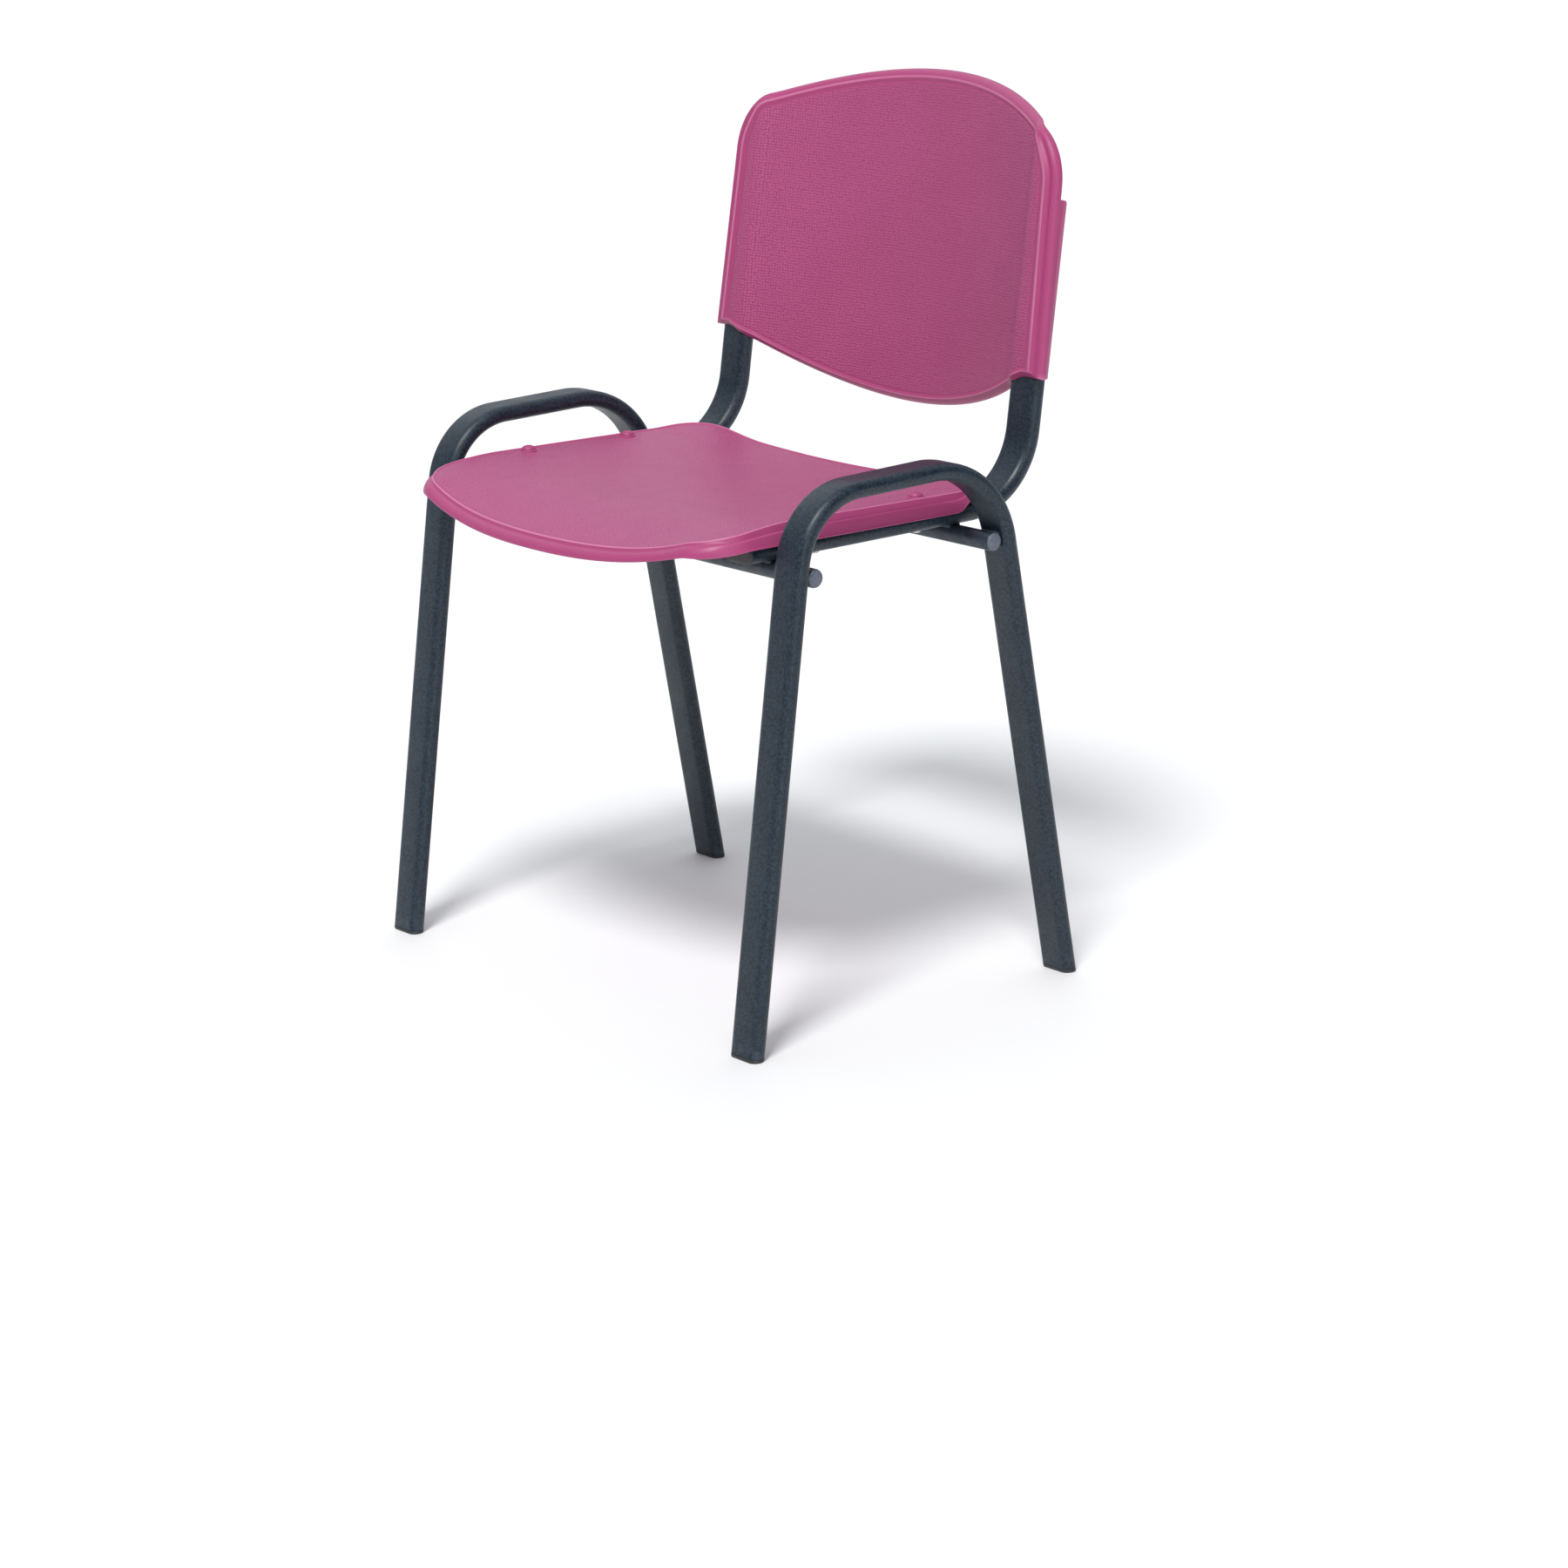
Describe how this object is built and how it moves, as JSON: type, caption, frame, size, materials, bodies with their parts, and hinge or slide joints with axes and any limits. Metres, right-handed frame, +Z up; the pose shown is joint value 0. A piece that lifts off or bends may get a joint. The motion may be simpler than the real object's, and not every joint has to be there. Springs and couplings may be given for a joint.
{
  "type": "stacking chair",
  "caption": "Armless stacking chair: bent flat-oval tube frame with splayed legs, dished plastic seat shell and curved plastic back shell.",
  "frame": {"origin": "floor level, under the centre of the bounding box", "axes": "+Z up, the sitter faces -Y; left and right in names are as seen from the front, so left is -X"},
  "size_m": [0.528, 0.4745, 0.7577],
  "materials": {
    "back_shell": "moulded burgundy, fine texture",
    "front_cross_tube": "satin blue-black powder coat",
    "front_left_cross_plug": "satin dark grey",
    "front_left_glide": "matte black",
    "front_left_seat_screw": "zinc plated",
    "front_right_cross_plug": "satin dark grey",
    "front_right_glide": "matte black",
    "front_right_seat_screw": "zinc plated",
    "left_back_screw": "zinc plated",
    "left_seat_back_tube": "satin blue-black powder coat",
    "left_seat_tube_plug": "matte black",
    "left_side_loop": "satin blue-black powder coat",
    "rear_cross_tube": "satin blue-black powder coat",
    "rear_left_cross_plug": "satin dark grey",
    "rear_left_glide": "matte black",
    "rear_left_seat_screw": "zinc plated",
    "rear_right_cross_plug": "satin dark grey",
    "rear_right_glide": "matte black",
    "rear_right_seat_screw": "zinc plated",
    "right_back_screw": "zinc plated",
    "right_seat_back_tube": "satin blue-black powder coat",
    "right_seat_tube_plug": "matte black",
    "right_side_loop": "satin blue-black powder coat",
    "seat_shell": "moulded burgundy, fine texture"
  },
  "bodies": {
    "root": {"back_shell": "back_shell", "front_cross_tube": "front_cross_tube", "front_left_cross_plug": "front_left_cross_plug", "front_left_glide": "front_left_glide", "front_left_seat_screw": "front_left_seat_screw", "front_right_cross_plug": "front_right_cross_plug", "front_right_glide": "front_right_glide", "front_right_seat_screw": "front_right_seat_screw", "left_back_screw": "left_back_screw", "left_seat_back_tube": "left_seat_back_tube", "left_seat_tube_plug": "left_seat_tube_plug", "left_side_loop": "left_side_loop", "rear_cross_tube": "rear_cross_tube", "rear_left_cross_plug": "rear_left_cross_plug", "rear_left_glide": "rear_left_glide", "rear_left_seat_screw": "rear_left_seat_screw", "rear_right_cross_plug": "rear_right_cross_plug", "rear_right_glide": "rear_right_glide", "rear_right_seat_screw": "rear_right_seat_screw", "right_back_screw": "right_back_screw", "right_seat_back_tube": "right_seat_back_tube", "right_seat_tube_plug": "right_seat_tube_plug", "right_side_loop": "right_side_loop", "seat_shell": "seat_shell"}
  },
  "joints": []
}
